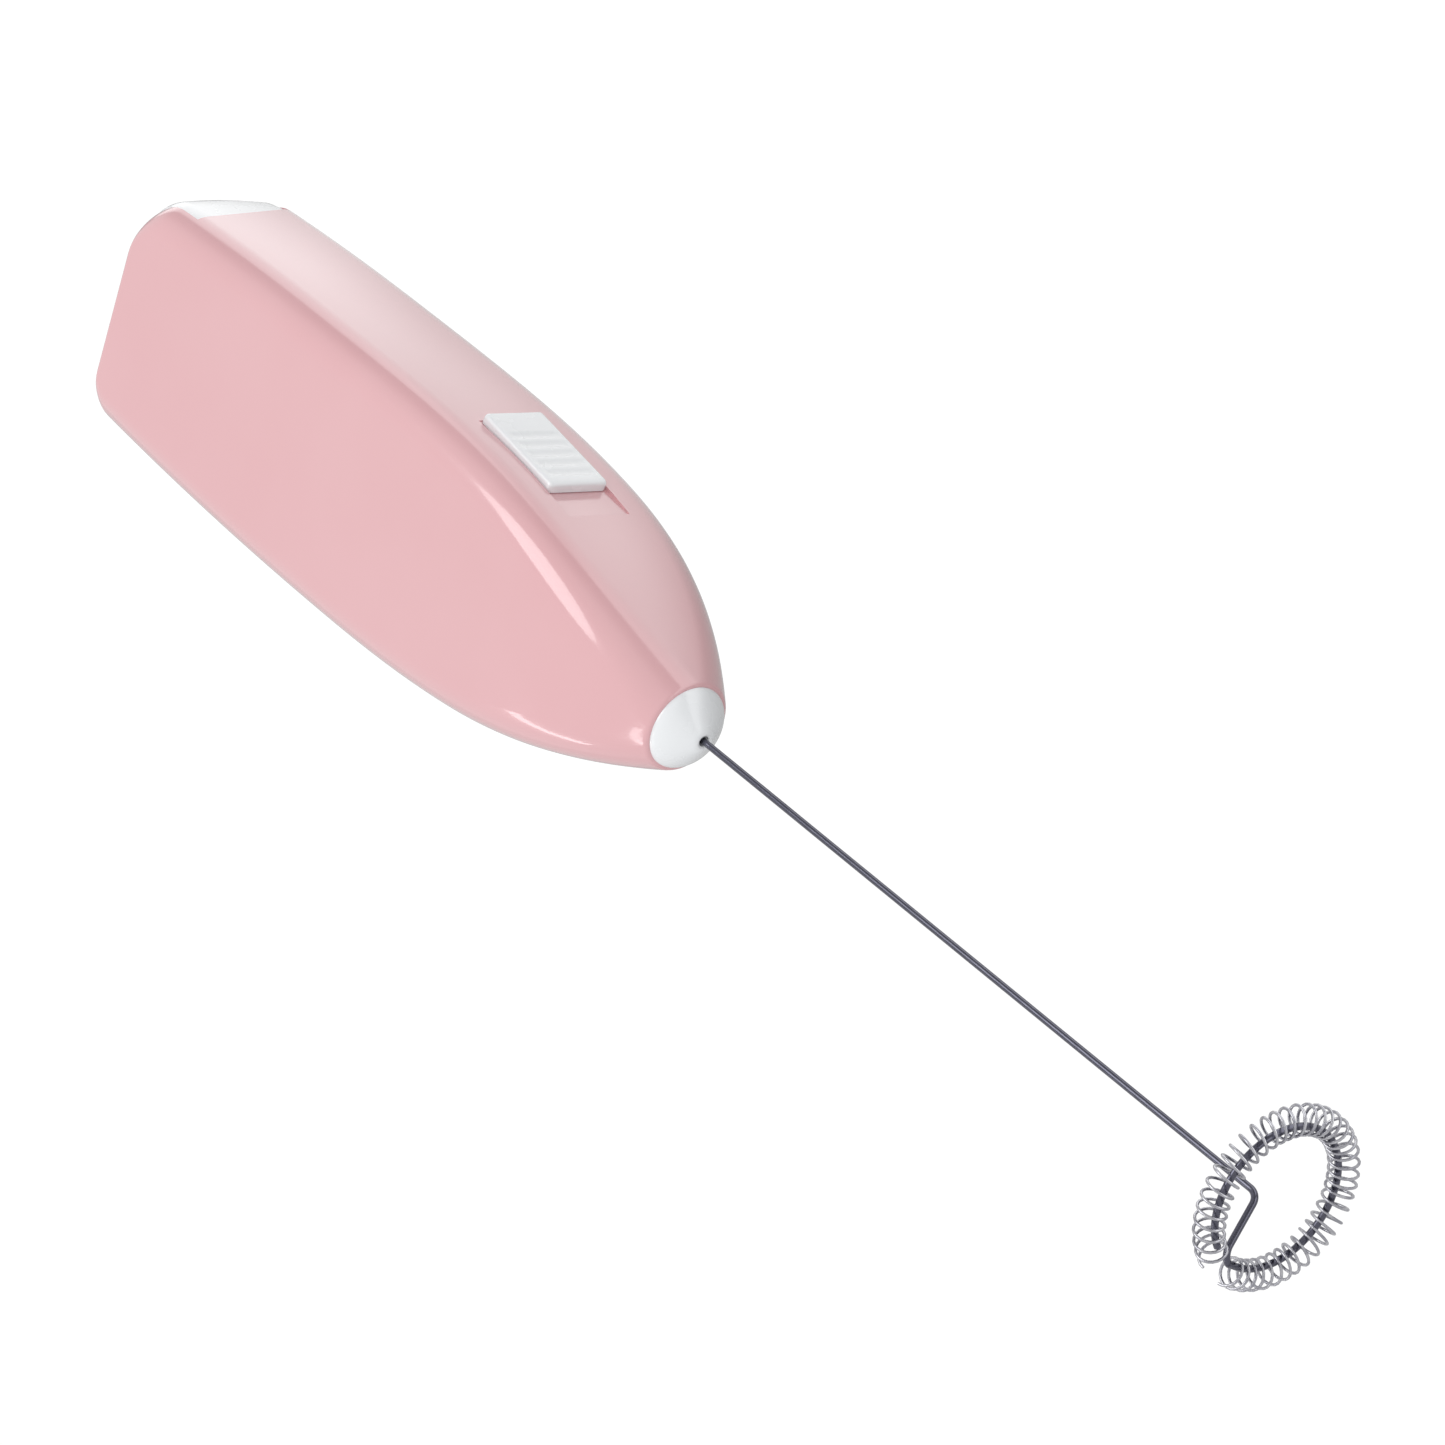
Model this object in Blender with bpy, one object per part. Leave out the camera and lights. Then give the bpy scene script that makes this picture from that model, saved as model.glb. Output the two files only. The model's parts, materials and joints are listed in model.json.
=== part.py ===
"""Handheld battery milk frother: a sleeve-like handle with a battery drawer, a small motor and a spring whisk.

Units are metres. The frother lies on one broad side of its handle, +Z up, with the origin at the middle of the
floor that it covers. +X runs along the whisk from the handle's rear end, and the switch faces +Y. Inside the
script a place is given by `at(u, y, z)`: u is measured from the handle's rear end, y and z from the motor axis.
"""

import math

import bmesh
import bpy
from mathutils import Matrix, Vector

MM = 0.001

# Handle, outside. The sides have different reaches from the motor axis: UP is the switch side.
SHELL_LENGTH = 113.0 * MM
REACH_UP = 18.97 * MM
REACH_DOWN = 15.99 * MM
HALF_THICKNESS = 11.7 * MM
FRONT_RADIUS = 5.95 * MM
WALL = 1.4 * MM
CORNER = 4.7 * MM
REAR_NARROWING_UP = 1.1 * MM
REAR_NARROWING_DOWN = 1.85 * MM
REAR_CORNER_UP = 5.5 * MM
REAR_CORNER_DOWN = 2.8 * MM
REAR_EDGE = 0.6 * MM
BULGE_UP = 0.295 * SHELL_LENGTH
BULGE_DOWN = 0.427 * SHELL_LENGTH
BULGE_THICKNESS = 0.72 * SHELL_LENGTH
CORNER_BLEND = 0.72 * SHELL_LENGTH
NOTCH_LOW = 5.5 * MM
NOTCH_HIGH = 8.7 * MM
NOTCH_HALF = 8.6 * MM
END_CORNER_UP = 2.5 * MM
END_CORNER = 5.5 * MM

# Nose and whisk.
NOSE_RADIUS = 5.1 * MM
NOSE_PROUD = 3.7 * MM
NOSE_HOLE = 5.35 * MM
STICK_RADIUS = 0.5 * MM
RING_RADIUS = 9.5 * MM
CARRIER_RADIUS = 8.7 * MM
RING_U = SHELL_LENGTH + 106.0 * MM
RING_OFFSET_Y = 1.1 * MM
RING_OFFSET_Z = -0.1 * MM
RING_YAW = math.radians(4.5)
RING_PITCH = math.radians(-2.8)
COIL_RADIUS = 1.7 * MM
COIL_WIRE_RADIUS = 0.2 * MM
COIL_TURNS = 42
ARM_ANGLE = math.radians(140.0)
KNEE_BACK = 2.4 * MM

# Motor and its shaft.
MOTOR_RADIUS = 7.7 * MM
MOTOR_FLAT = 6.0 * MM
SHAFT_RADIUS = 0.75 * MM
SHAFT_BORE = 0.8 * MM
CORE_RADIUS = 5.0 * MM
CORE_START = 70.5 * MM
CORE_END = 80.5 * MM

# Two AA cells, side by side, opposite ways round.
CELL_RADIUS = 7.1 * MM
CELL_BODY = 49.3 * MM
CELL_NUB = 1.2 * MM
CELL_NUB_RADIUS = 2.75 * MM
CELL_PITCH = 14.4 * MM
CELL_MIDDLE_Y = 1.87 * MM

# Battery drawer and switch.
DRAWER_CLEARANCE = 0.25 * MM
DRAWER_LENGTH = 59.5 * MM
TRAY_TOP = -3.5 * MM
KNOB_START = 67.7 * MM
KNOB_TOP = 19.7 * MM
KNOB_SLOPE = -0.135
KNOB_LENGTH = 15.5 * MM
KNOB_HALF_WIDTH = 4.6 * MM
KNOB_TRAVEL = 3.0 * MM
KNOB_GAP = 0.25 * MM
KNOB_EDGE = 0.45 * MM
RECESS_FLOOR = -1.5 * MM
RECESS_LENGTH = 24.0 * MM
SLOT_START = 3.6 * MM
SLOT_END = 14.9 * MM
SLOT_HALF = 2.4 * MM
RIDGES = 5

RING_REACH = COIL_RADIUS + COIL_WIRE_RADIUS
RING_LEAN = RING_RADIUS * math.hypot(math.sin(RING_YAW), math.sin(RING_PITCH))
OVERALL_LENGTH = RING_U + RING_REACH + RING_LEAN
REAR_X = -OVERALL_LENGTH / 2
AXIS_Y = -(KNOB_TOP - REACH_DOWN) / 2
AXIS_Z = HALF_THICKNESS

PINK = (0.80, 0.44, 0.47)
WHITE = (0.83, 0.85, 0.87)
STEEL = (0.62, 0.62, 0.64)
DARK_STEEL = (0.30, 0.30, 0.33)
BRASS = (0.72, 0.50, 0.22)
COPPER = (0.72, 0.33, 0.16)
BLACK = (0.05, 0.05, 0.06)
CELL_GREEN = (0.10, 0.32, 0.22)


def at(u, y=0.0, z=0.0):
    """A point u from the handle's rear end, and y and z from the motor axis."""
    return Vector((REAR_X + u, AXIS_Y + y, AXIS_Z + z))


def clear_scene():
    for obj in list(bpy.data.objects):
        bpy.data.objects.remove(obj, do_unlink=True)


def material(name, colour, roughness=0.4, metallic=0.0):
    found = bpy.data.materials.get(name)
    if found:
        return found
    made = bpy.data.materials.new(name)
    made.use_nodes = True
    shader = made.node_tree.nodes["Principled BSDF"]
    shader.inputs["Base Color"].default_value = (*colour, 1.0)
    shader.inputs["Roughness"].default_value = roughness
    shader.inputs["Metallic"].default_value = metallic
    return made


def add_object(name, data, finish):
    obj = bpy.data.objects.new(name, data)
    bpy.context.scene.collection.objects.link(obj)
    data.materials.append(finish)
    return obj


def mesh_object(name, bm, finish, smooth_angle=35.0):
    bmesh.ops.remove_doubles(bm, verts=bm.verts, dist=1e-7)
    bmesh.ops.recalc_face_normals(bm, faces=bm.faces)
    mesh = bpy.data.meshes.new(name)
    bm.to_mesh(mesh)
    bm.free()
    mesh.shade_smooth()
    mesh.set_sharp_from_angle(angle=math.radians(smooth_angle))
    return add_object(name, mesh, finish)


def lofted(name, loops, finish, ring=False):
    """A solid through loops of equal length: capped at both ends, or joined last to first when `ring` is set."""
    bm = bmesh.new()
    rows = [[bm.verts.new(point) for point in loop] for loop in loops]
    pairs = list(zip(rows, rows[1:]))
    if ring:
        pairs.append((rows[-1], rows[0]))
    count = len(rows[0])
    for first, second in pairs:
        for i in range(count):
            j = (i + 1) % count
            bm.faces.new((first[i], first[j], second[j], second[i]))
    if not ring:
        bm.faces.new(rows[0])
        bm.faces.new(rows[-1])
    return mesh_object(name, bm, finish)


def circle(u, radius, sides, y=0.0, z=0.0, flat=None):
    """A loop about the motor axis, or about an axis beside it, cut off at z = +-flat when that is given."""
    limit = radius if flat is None else flat
    points = []
    for i in range(sides):
        angle = 2 * math.pi * i / sides
        high = max(-limit, min(limit, radius * math.sin(angle)))
        points.append(at(u, y + radius * math.cos(angle), z + high))
    return points


def turned(name, profile, finish, sides=24, y=0.0, ring=True):
    """A turned solid from (u, radius) pairs; a ring profile goes out and back through the bore."""
    return lofted(name, [circle(u, r, sides, y) for u, r in profile], finish, ring)


def extruded_x(name, outline, start, end, finish):
    """An outline of (y, z) points, from u = start to u = end."""
    return lofted(name, [[at(u, y, z) for y, z in outline] for u in (start, end)], finish)


def extruded_z(name, outline, half_width, finish):
    """An outline of (u, y) points, from z = -half_width to +half_width."""
    loops = [[at(u, y, z) for u, y in outline] for z in (-half_width, half_width)]
    return lofted(name, loops, finish)


def block(name, u_range, y_range, z_range, finish):
    (u0, u1), (y0, y1), (z0, z1) = u_range, y_range, z_range
    return extruded_x(name, [(y0, z0), (y1, z0), (y1, z1), (y0, z1)], u0, u1, finish)


def combine(target, other, operation):
    """Applies a Boolean with `other` to `target`, and removes `other`."""
    modifier = target.modifiers.new("combine", "BOOLEAN")
    modifier.operation = operation
    modifier.solver = "EXACT"
    modifier.object = other
    bpy.context.view_layer.update()
    graph = bpy.context.evaluated_depsgraph_get()
    result = bpy.data.meshes.new_from_object(target.evaluated_get(graph))
    target.modifiers.clear()
    target.data = result
    result.name = target.name
    bpy.data.objects.remove(other, do_unlink=True)
    return target


def wire(name, points, radius, finish, bevel_resolution):
    curve = bpy.data.curves.new(name, "CURVE")
    curve.dimensions = "3D"
    spline = curve.splines.new("POLY")
    spline.points.add(len(points) - 1)
    for target, point in zip(spline.points, points):
        target.co = (*point, 1.0)
    curve.bevel_depth = radius
    curve.bevel_resolution = bevel_resolution
    curve.use_fill_caps = True
    return add_object(name, curve, finish)


# The handle's outline, as functions of u.


def bullet(u, start, full, power, softness=1.0):
    """A reach that is `full` up to start and falls to the front radius at the shell's end."""
    if u <= start:
        return full
    share = min(1.0, (u - start) / (SHELL_LENGTH - start))
    return FRONT_RADIUS + (full - FRONT_RADIUS) * max(0.0, 1 - share**power) ** softness


def narrowed(u, start, amount):
    return amount * max(0.0, 1 - u / start) ** 2


def end_round(u, radius):
    """How far a rounded end corner of this radius draws the side in at u."""
    short = max(0.0, radius - u)
    return radius - math.sqrt(radius**2 - short**2)


def reach_up(u, rounded=True):
    reach = bullet(u, BULGE_UP, REACH_UP, 3.66, 1.048) - narrowed(u, BULGE_UP, REAR_NARROWING_UP)
    return reach - (end_round(u, REAR_CORNER_UP) if rounded else 0.0)


def reach_down(u, rounded=True):
    reach = bullet(u, BULGE_DOWN, REACH_DOWN, 2.736, 0.976) - narrowed(u, BULGE_DOWN, REAR_NARROWING_DOWN)
    return reach - (end_round(u, REAR_CORNER_DOWN) if rounded else 0.0)


def half_thickness(u, rounded=True):
    reach = bullet(u, BULGE_THICKNESS, HALF_THICKNESS, 2.6)
    return reach - (end_round(u, REAR_EDGE) if rounded else 0.0)


def corner_radius(u):
    share = max(0.0, (u - CORNER_BLEND) / (SHELL_LENGTH - CORNER_BLEND))
    return CORNER + (FRONT_RADIUS - CORNER) * share**2


def rounded_box(u, up, down, half, radius, steps=6):
    """A loop at u: a rounded rectangle from y = -down to +up and z = -half to +half."""
    points = []
    corners = ((up, half, 0), (-down, half, 90), (-down, -half, 180), (up, -half, 270))
    for y, z, start in corners:
        centre_y = y - math.copysign(radius, y)
        centre_z = z - math.copysign(radius, z)
        for i in range(steps + 1):
            angle = math.radians(start + 90 * i / steps)
            points.append(at(u, centre_y + radius * math.cos(angle), centre_z + radius * math.sin(angle)))
    return points


def section(u, inset=0.0, rounded=True):
    """The handle's cross-section at u, drawn in by inset."""
    return rounded_box(
        u,
        reach_up(u, rounded) - inset,
        reach_down(u, rounded) - inset,
        half_thickness(u, rounded) - inset,
        corner_radius(u) - inset,
    )


# Handle pieces.


def make_shell(finish):
    """The sleeve: one hollow moulding, open at the rear, with a notch there and a recess and slot for the switch."""
    rear = [0.0, 0.2, 0.6, 1.6, 3.0, 4.6, 6.5]
    body = [15.0, 24.0, 33.0, 42.0, 50.0, 57.0, 63.0, 68.0, 73.0, 78.0, 83.0]
    front = [88.0, 92.5, 96.5, 100.0, 103.0, 105.5, 107.7, 109.5, 111.0, 112.2, 113.0]
    shell = lofted("outer_shell", [section(u * MM) for u in rear + body + front], finish)
    inside = [-1.0, 16.0, 33.0, 44.0, 55.0, 63.0, 70.0, 76.0, 82.0, 88.0, 93.5, 98.5, 103.0, 107.0]
    cavity = [section(max(0.0, u) * MM, WALL, rounded=False) for u in inside]
    for point in cavity[0]:
        point.x -= MM
    cavity += [rounded_box(u * MM, *([NOSE_HOLE] * 3), NOSE_HOLE) for u in (110.6, 115.0)]
    combine(shell, lofted("cavity", cavity, finish), "DIFFERENCE")
    combine(shell, notch_block("notch", 0.0, finish), "DIFFERENCE")
    reach = KNOB_HALF_WIDTH + KNOB_GAP
    recess = knob_block("recess", (-KNOB_GAP, RECESS_LENGTH), (RECESS_FLOOR, 5 * MM), reach, finish)
    combine(shell, recess, "DIFFERENCE")
    slot = knob_block("slot", (SLOT_START, SLOT_END), (-4 * WALL, 0.0), SLOT_HALF, finish)
    return combine(shell, slot, "DIFFERENCE")


def notch_block(name, shrink, finish):
    """The notch's shape, through both narrow sides; its front edge slants and is deepest towards +Z."""
    side, low, high = NOTCH_HALF - shrink, NOTCH_LOW - shrink, NOTCH_HIGH - shrink
    outline = [(-MM, -side), (low, -side), (high, side), (-MM, side)]
    wide = 2 * REACH_UP
    return lofted(name, [[at(u, y, z) for u, z in outline] for y in (-wide, wide)], finish)


def knob_block(name, along, across, half_width, finish):
    """A block in the knob's own directions: `along` the slide and `across` the wall, from the top's rear edge."""
    origin, tangent, normal = knob_frame()
    corners = ((along[0], across[0]), (along[1], across[0]), (along[1], across[1]), (along[0], across[1]))
    loops = []
    for z in (-half_width, half_width):
        loops.append([origin + a * tangent + b * normal + Vector((0, 0, z)) for a, b in corners])
    return lofted(name, loops, finish)


def knob_frame():
    """The middle of the top's rear edge, the direction of the slide, and the direction out of the wall."""
    tangent = Vector((math.cos(KNOB_SLOPE), math.sin(KNOB_SLOPE), 0.0))
    normal = Vector((-tangent.y, tangent.x, 0.0))
    return at(KNOB_START, KNOB_TOP), tangent, normal


def knob_profile():
    """The top seen from the side: (along, how far the rounded edge draws it down, share of a groove's depth)."""
    rounding = [(0.0, 1.0), (0.3, 0.29), (1.0, 0.0)]
    ridge_start, ridge_end = 4.4 * MM, KNOB_LENGTH - 1.4 * MM
    pitch = (ridge_end - ridge_start) / RIDGES
    stops = [(share * KNOB_EDGE, down, 0.0) for share, down in rounding] + [(ridge_start, 0.0, 0.0)]
    for i in range(RIDGES):
        begin = ridge_start + i * pitch
        stops += [(begin + 0.25 * pitch, 0.0, 1.0), (begin + 0.5 * pitch, 0.0, 1.0), (begin + 0.75 * pitch, 0.0, 0.0)]
    stops += [(KNOB_LENGTH - share * KNOB_EDGE, down, 0.0) for share, down in reversed(rounding)]
    return stops


def make_knob(finish):
    """The sliding switch: a ridged cap in the recess, a stem through the slot, a clip under the wall and a cam."""
    origin, tangent, normal = knob_frame()
    groove, under = 0.28 * MM, RECESS_FLOOR + 0.1 * MM
    sides = [(0.0, 1.0, 0.0), (0.3, 0.29, 0.0), (1.0, 0.0, 0.0), (2.2, 0.0, 1.0)]
    sides = [(-1, *side) for side in sides] + [(1, *side) for side in reversed(sides)]
    loops = []
    for sign, share, down, grooved in sides:
        z = sign * (KNOB_HALF_WIDTH - share * KNOB_EDGE)
        trim = 1 - 2 * down * KNOB_EDGE / KNOB_LENGTH
        top = []
        for along, drawn, cut in knob_profile():
            lowered = KNOB_EDGE * (1 - (1 - down) * (1 - drawn)) + groove * cut * grooved
            top.append((KNOB_LENGTH / 2 + (along - KNOB_LENGTH / 2) * trim, -lowered))
        outline = top + [(top[-1][0], under), (top[0][0], under)]
        loops.append([origin + a * tangent + b * normal + Vector((0, 0, z)) for a, b in outline])
    knob = lofted("switch_knob", loops, finish)
    clip_top, clip_under, cam_under = -3.05 * MM, -3.95 * MM, -5.6 * MM
    stem_start = SLOT_START + 0.2 * MM
    stem_end = SLOT_END - KNOB_TRAVEL - 0.2 * MM
    for name, along, across, half_width in (
        ("stem", (stem_start, stem_end), (clip_under, under + 0.2 * MM), SLOT_HALF - 0.2 * MM),
        ("clip", (1.5 * MM, 13.8 * MM), (clip_under, clip_top), 3.8 * MM),
        ("cam", (4.5 * MM, 7.0 * MM), (cam_under, clip_top), 2.0 * MM),
    ):
        combine(knob, knob_block(name, along, across, half_width, finish), "UNION")
    return knob


def make_nose(finish):
    steps = 6
    shares = [i / steps for i in range(1, steps)]
    dome = [(SHELL_LENGTH + NOSE_PROUD * t, NOSE_RADIUS * (1 - 0.8 * t**1.5)) for t in shares]
    tip = SHELL_LENGTH + NOSE_PROUD
    outer = [(104.5 * MM, 6.2 * MM), (106.0 * MM, 6.2 * MM), (106.0 * MM, NOSE_RADIUS), (SHELL_LENGTH, NOSE_RADIUS)]
    bore = [(tip, 1.05 * MM), (110.0 * MM, 1.05 * MM), (110.0 * MM, 3.4 * MM), (104.5 * MM, 3.4 * MM)]
    return turned("nose_cap", outer + dome + bore, finish, sides=32)


def make_motor_holder(finish):
    """One moulding: a bulkhead across the sleeve, a tube round the motor and a snout behind the nose."""
    tube = [
        (61.5 * MM, 9.1 * MM),
        (86.3 * MM, 9.1 * MM),
        (86.3 * MM, 5.2 * MM),
        (104.2 * MM, 5.2 * MM),
        (104.2 * MM, 3.4 * MM),
        (84.8 * MM, 3.4 * MM),
        (84.8 * MM, 7.95 * MM),
        (61.5 * MM, 7.95 * MM),
    ]
    holder = turned("motor_holder", tube, finish, sides=32)
    plate = lofted("plate", [section(u * MM, WALL + 0.3 * MM) for u in (60.8, 62.3)], finish)
    combine(holder, plate, "UNION")
    pad = block("pad", (69.0 * MM, 81.0 * MM), (8.6 * MM, 10.6 * MM), (-2.5 * MM, 2.5 * MM), finish)
    combine(holder, pad, "UNION")
    blade_slot = ((60.0 * MM, 63.0 * MM), (12.1 * MM, 13.0 * MM), (-2.9 * MM, 2.9 * MM))
    strip_slot = ((60.0 * MM, 63.0 * MM), (-5.7 * MM, -4.6 * MM), (-4.6 * MM, 4.6 * MM))
    window = ((62.3 * MM, 66.5 * MM), (0.0, 9.9 * MM), (-3.5 * MM, 3.5 * MM))
    for i, slot in enumerate((blade_slot, strip_slot, window)):
        combine(holder, block(f"slot_{i}", *slot, finish), "DIFFERENCE")
    return holder


# Motor.


def make_motor(steel, plastic, brass, copper, black, dark):
    sides = 28
    can_start, can_end, can_wall = 65.8 * MM, 84.5 * MM, 0.7 * MM
    boss_end, boss_radius, bush_radius = 86.0 * MM, 3.0 * MM, 2.0 * MM
    inner_radius, inner_flat = MOTOR_RADIUS - can_wall, MOTOR_FLAT - can_wall
    can = [
        circle(can_start, MOTOR_RADIUS, sides, flat=MOTOR_FLAT),
        circle(can_end, MOTOR_RADIUS, sides, flat=MOTOR_FLAT),
        circle(can_end, boss_radius, sides),
        circle(boss_end, boss_radius, sides),
        circle(boss_end, bush_radius, sides),
        circle(can_end - can_wall, bush_radius, sides),
        circle(can_end - can_wall, inner_radius, sides, flat=inner_flat),
        circle(can_start, inner_radius, sides, flat=inner_flat),
    ]
    lofted("motor_can", can, steel, ring=True)
    plug_radius, plug_flat = inner_radius - 0.15 * MM, inner_flat - 0.15 * MM
    bell = [
        circle(65.0 * MM, MOTOR_RADIUS, sides, flat=MOTOR_FLAT),
        circle(65.5 * MM, MOTOR_RADIUS, sides, flat=MOTOR_FLAT),
        circle(65.5 * MM, plug_radius, sides, flat=plug_flat),
        circle(66.3 * MM, plug_radius, sides, flat=plug_flat),
        circle(66.3 * MM, 1.9 * MM, sides),
        circle(65.0 * MM, 1.9 * MM, sides),
    ]
    lofted("motor_end_bell", bell, plastic, ring=True)
    for name, start, end, radius in (
        ("rear_bearing", 65.1, 66.3, 1.75),
        ("front_bearing", 84.0, 86.0, 1.85),
        ("rear_thrust_washer", 66.5, 66.75, 1.6),
        ("front_thrust_washer", 82.6, 83.2, 1.6),
    ):
        profile = [(start, radius), (end, radius), (end, SHAFT_BORE / MM), (start, SHAFT_BORE / MM)]
        finish = plastic if "washer" in name else brass
        turned(name, [(u * MM, r * MM) for u, r in profile], finish, sides=20)
    for name, middle in (("magnet_up", 0.0), ("magnet_down", math.pi)):
        extruded_x(name, arc_plate(middle, 5.45 * MM, 6.75 * MM, math.radians(44)), 69.0 * MM, 82.0 * MM, black)
    for name, side in (("brush_up", 1), ("brush_down", -1)):
        span = sorted((side * 2.45 * MM, side * 2.75 * MM))
        block(name, (66.7 * MM, 68.9 * MM), span, (-1.0 * MM, 1.0 * MM), copper)
    for name, side in (("terminal_up", 1), ("terminal_down", -1)):
        span = sorted((side * 4.3 * MM, side * 4.7 * MM))
        block(name, (62.7 * MM, 64.7 * MM), span, (-1.1 * MM, 1.1 * MM), copper)
    shaft = [(65.6 * MM, SHAFT_RADIUS), (97.8 * MM, SHAFT_RADIUS)]
    turned("motor_shaft", shaft, steel, sides=16, ring=False)
    make_armature(dark, copper)
    make_commutator(copper)


def arc_plate(middle, inner, outer, half_angle, steps=8):
    """The (y, z) outline of a curved plate about the motor axis."""
    outline = []
    for radius, direction in ((outer, 1), (inner, -1)):
        for i in range(steps + 1):
            angle = middle + direction * half_angle * (2 * i / steps - 1)
            outline.append((radius * math.cos(angle), radius * math.sin(angle)))
    return outline


def bored(name, outline, start, end, finish):
    """An outline of (y, z) points extruded along X, with the shaft's bore through it."""
    body = extruded_x(name, outline, start, end, finish)
    bore = lofted("bore", [circle(u, SHAFT_BORE, 20) for u in (start - MM, end + MM)], finish)
    return combine(body, bore, "DIFFERENCE")


def make_armature(dark, copper):
    """A stack with three T-shaped poles, and a winding round the leg of each."""
    poles, hub, leg = 3, 2.0 * MM, 0.85 * MM
    shoe_inner, shoe_half = 4.2 * MM, math.radians(44)
    outline = []
    for pole in range(poles):
        middle = 2 * math.pi * pole / poles
        outline += pole_outline(middle, hub, leg, shoe_inner, shoe_half)
    bored("armature_core", outline, CORE_START, CORE_END, dark)
    for pole in range(poles):
        middle = 2 * math.pi * pole / poles
        make_winding(f"winding_{pole + 1}", middle, leg, copper)


def pole_outline(middle, hub, leg, shoe_inner, shoe_half, steps=6):
    foot = math.asin(leg / hub)
    neck = math.asin(leg / shoe_inner)
    ends = [(hub, -foot), (shoe_inner, -neck), (shoe_inner, -shoe_half)]
    ends += [(CORE_RADIUS, shoe_half * (2 * i / steps - 1)) for i in range(steps + 1)]
    ends += [(shoe_inner, shoe_half), (shoe_inner, neck), (hub, foot)]
    return [(r * math.cos(middle + a), r * math.sin(middle + a)) for r, a in ends]


def make_winding(name, middle, leg, copper):
    radial = Vector((0, math.cos(middle), math.sin(middle)))
    sideways = Vector((0, -math.sin(middle), math.cos(middle)))
    forward = Vector((1, 0, 0))
    centre = at((CORE_START + CORE_END) / 2)
    half_length = (CORE_END - CORE_START) / 2
    thick, gap = 0.6 * MM, 0.1 * MM
    low, high = 2.55 * MM, 3.6 * MM
    sizes = ((thick, low), (thick, high), (gap, high), (gap, low))
    loops = []
    for grow, height in sizes:
        along, across = half_length + grow, leg + grow
        corners = ((along, across), (-along, across), (-along, -across), (along, -across))
        loops.append([centre + height * radial + a * forward + b * sideways for a, b in corners])
    return lofted(name, loops, copper, ring=True)


def make_commutator(copper):
    segments, radius, slot_floor, slot_half = 3, 2.15 * MM, 1.6 * MM, math.radians(5)
    outline = []
    for i in range(segments):
        start = 2 * math.pi * (i + 0.5) / segments
        outline += [(slot_floor, start - slot_half), (slot_floor, start + slot_half)]
        span = 2 * math.pi / segments - 2 * slot_half
        outline += [(radius, start + slot_half + span * k / 6) for k in range(7)]
    points = [(r * math.cos(a), r * math.sin(a)) for r, a in outline]
    return bored("commutator", points, 66.95 * MM, 69.3 * MM, copper)


# Whisk.


def make_coupling(finish):
    profile = [(88.0, 2.6), (99.0, 2.6), (100.0, 1.9), (108.5, 1.9), (108.5, 0.55), (98.2, 0.55)]
    profile += [(98.2, 0.8), (88.0, 0.8)]
    return turned("shaft_coupling", [(u * MM, r * MM) for u, r in profile], finish, sides=20)


def ring_axes():
    """The ring leans a little and sits a little off the axis: its forward, +Y and +Z directions, and its centre."""
    turn = Matrix.Rotation(RING_YAW, 3, "Z") @ Matrix.Rotation(RING_PITCH, 3, "Y")
    forward, side, top = (turn @ Vector(axis) for axis in ((1, 0, 0), (0, 1, 0), (0, 0, 1)))
    return forward, side, top, at(RING_U, RING_OFFSET_Y, RING_OFFSET_Z)


def ring_point(radius, angle, ahead=0.0):
    forward, side, top, centre = ring_axes()
    return centre + radius * (math.cos(angle) * side + math.sin(angle) * top) + ahead * forward


def corner_arc(before, corner, after, radius, steps=6):
    """Points of an arc of this radius that rounds the corner between two straight stretches."""
    back, on = (before - corner).normalized(), (after - corner).normalized()
    half = back.angle(on) / 2
    middle = corner + (back + on).normalized() * radius / math.sin(half)
    start = corner + back * radius / math.tan(half) - middle
    end = corner + on * radius / math.tan(half) - middle
    sweep = start.angle(end)
    points = []
    for i in range(steps + 1):
        first, second = math.sin(sweep * (1 - i / steps)), math.sin(sweep * i / steps)
        points.append(middle + (first * start + second * end) / math.sin(sweep))
    return points


def whisk_path():
    """The wire's centre line: along the axis, out along an arm, and round the ring inside the coil's turns."""
    bend, turn, count, sweep = 1.8 * MM, 1.5 * MM, 45, math.radians(337)
    lead = math.asin(turn / CARRIER_RADIUS)
    tail, knee, heel = at(98.6 * MM), at(RING_U - KNEE_BACK), ring_point(CARRIER_RADIUS, ARM_ANGLE)
    points = [tail] + corner_arc(tail, knee, heel, bend)
    points += corner_arc(knee, heel, ring_point(CARRIER_RADIUS / math.cos(lead), ARM_ANGLE + lead), turn)
    for i in range(1, count + 1):
        points.append(ring_point(CARRIER_RADIUS, ARM_ANGLE + lead + sweep * i / count))
    return points


def coil_path(per_turn=10):
    """A helix wound round the ring, from just past the arm to just short of it."""
    start, sweep = ARM_ANGLE + math.radians(15), math.radians(336)
    count = COIL_TURNS * per_turn
    points = []
    for i in range(count + 1):
        turn = 2 * math.pi * i / per_turn
        radius = RING_RADIUS + COIL_RADIUS * math.cos(turn)
        points.append(ring_point(radius, start + sweep * i / count, COIL_RADIUS * math.sin(turn)))
    return points


def make_whisk(steel):
    wire("whisk_stick", whisk_path(), STICK_RADIUS, steel, 2)
    wire("whisk_coil", coil_path(), COIL_WIRE_RADIUS, steel, 0)


# Battery drawer, cells and contacts.


def drawer_limits():
    up = reach_up(0.0, rounded=False) - WALL - DRAWER_CLEARANCE
    down = reach_down(0.0, rounded=False) - WALL - DRAWER_CLEARANCE
    return up, down, HALF_THICKNESS - WALL - DRAWER_CLEARANCE


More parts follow.
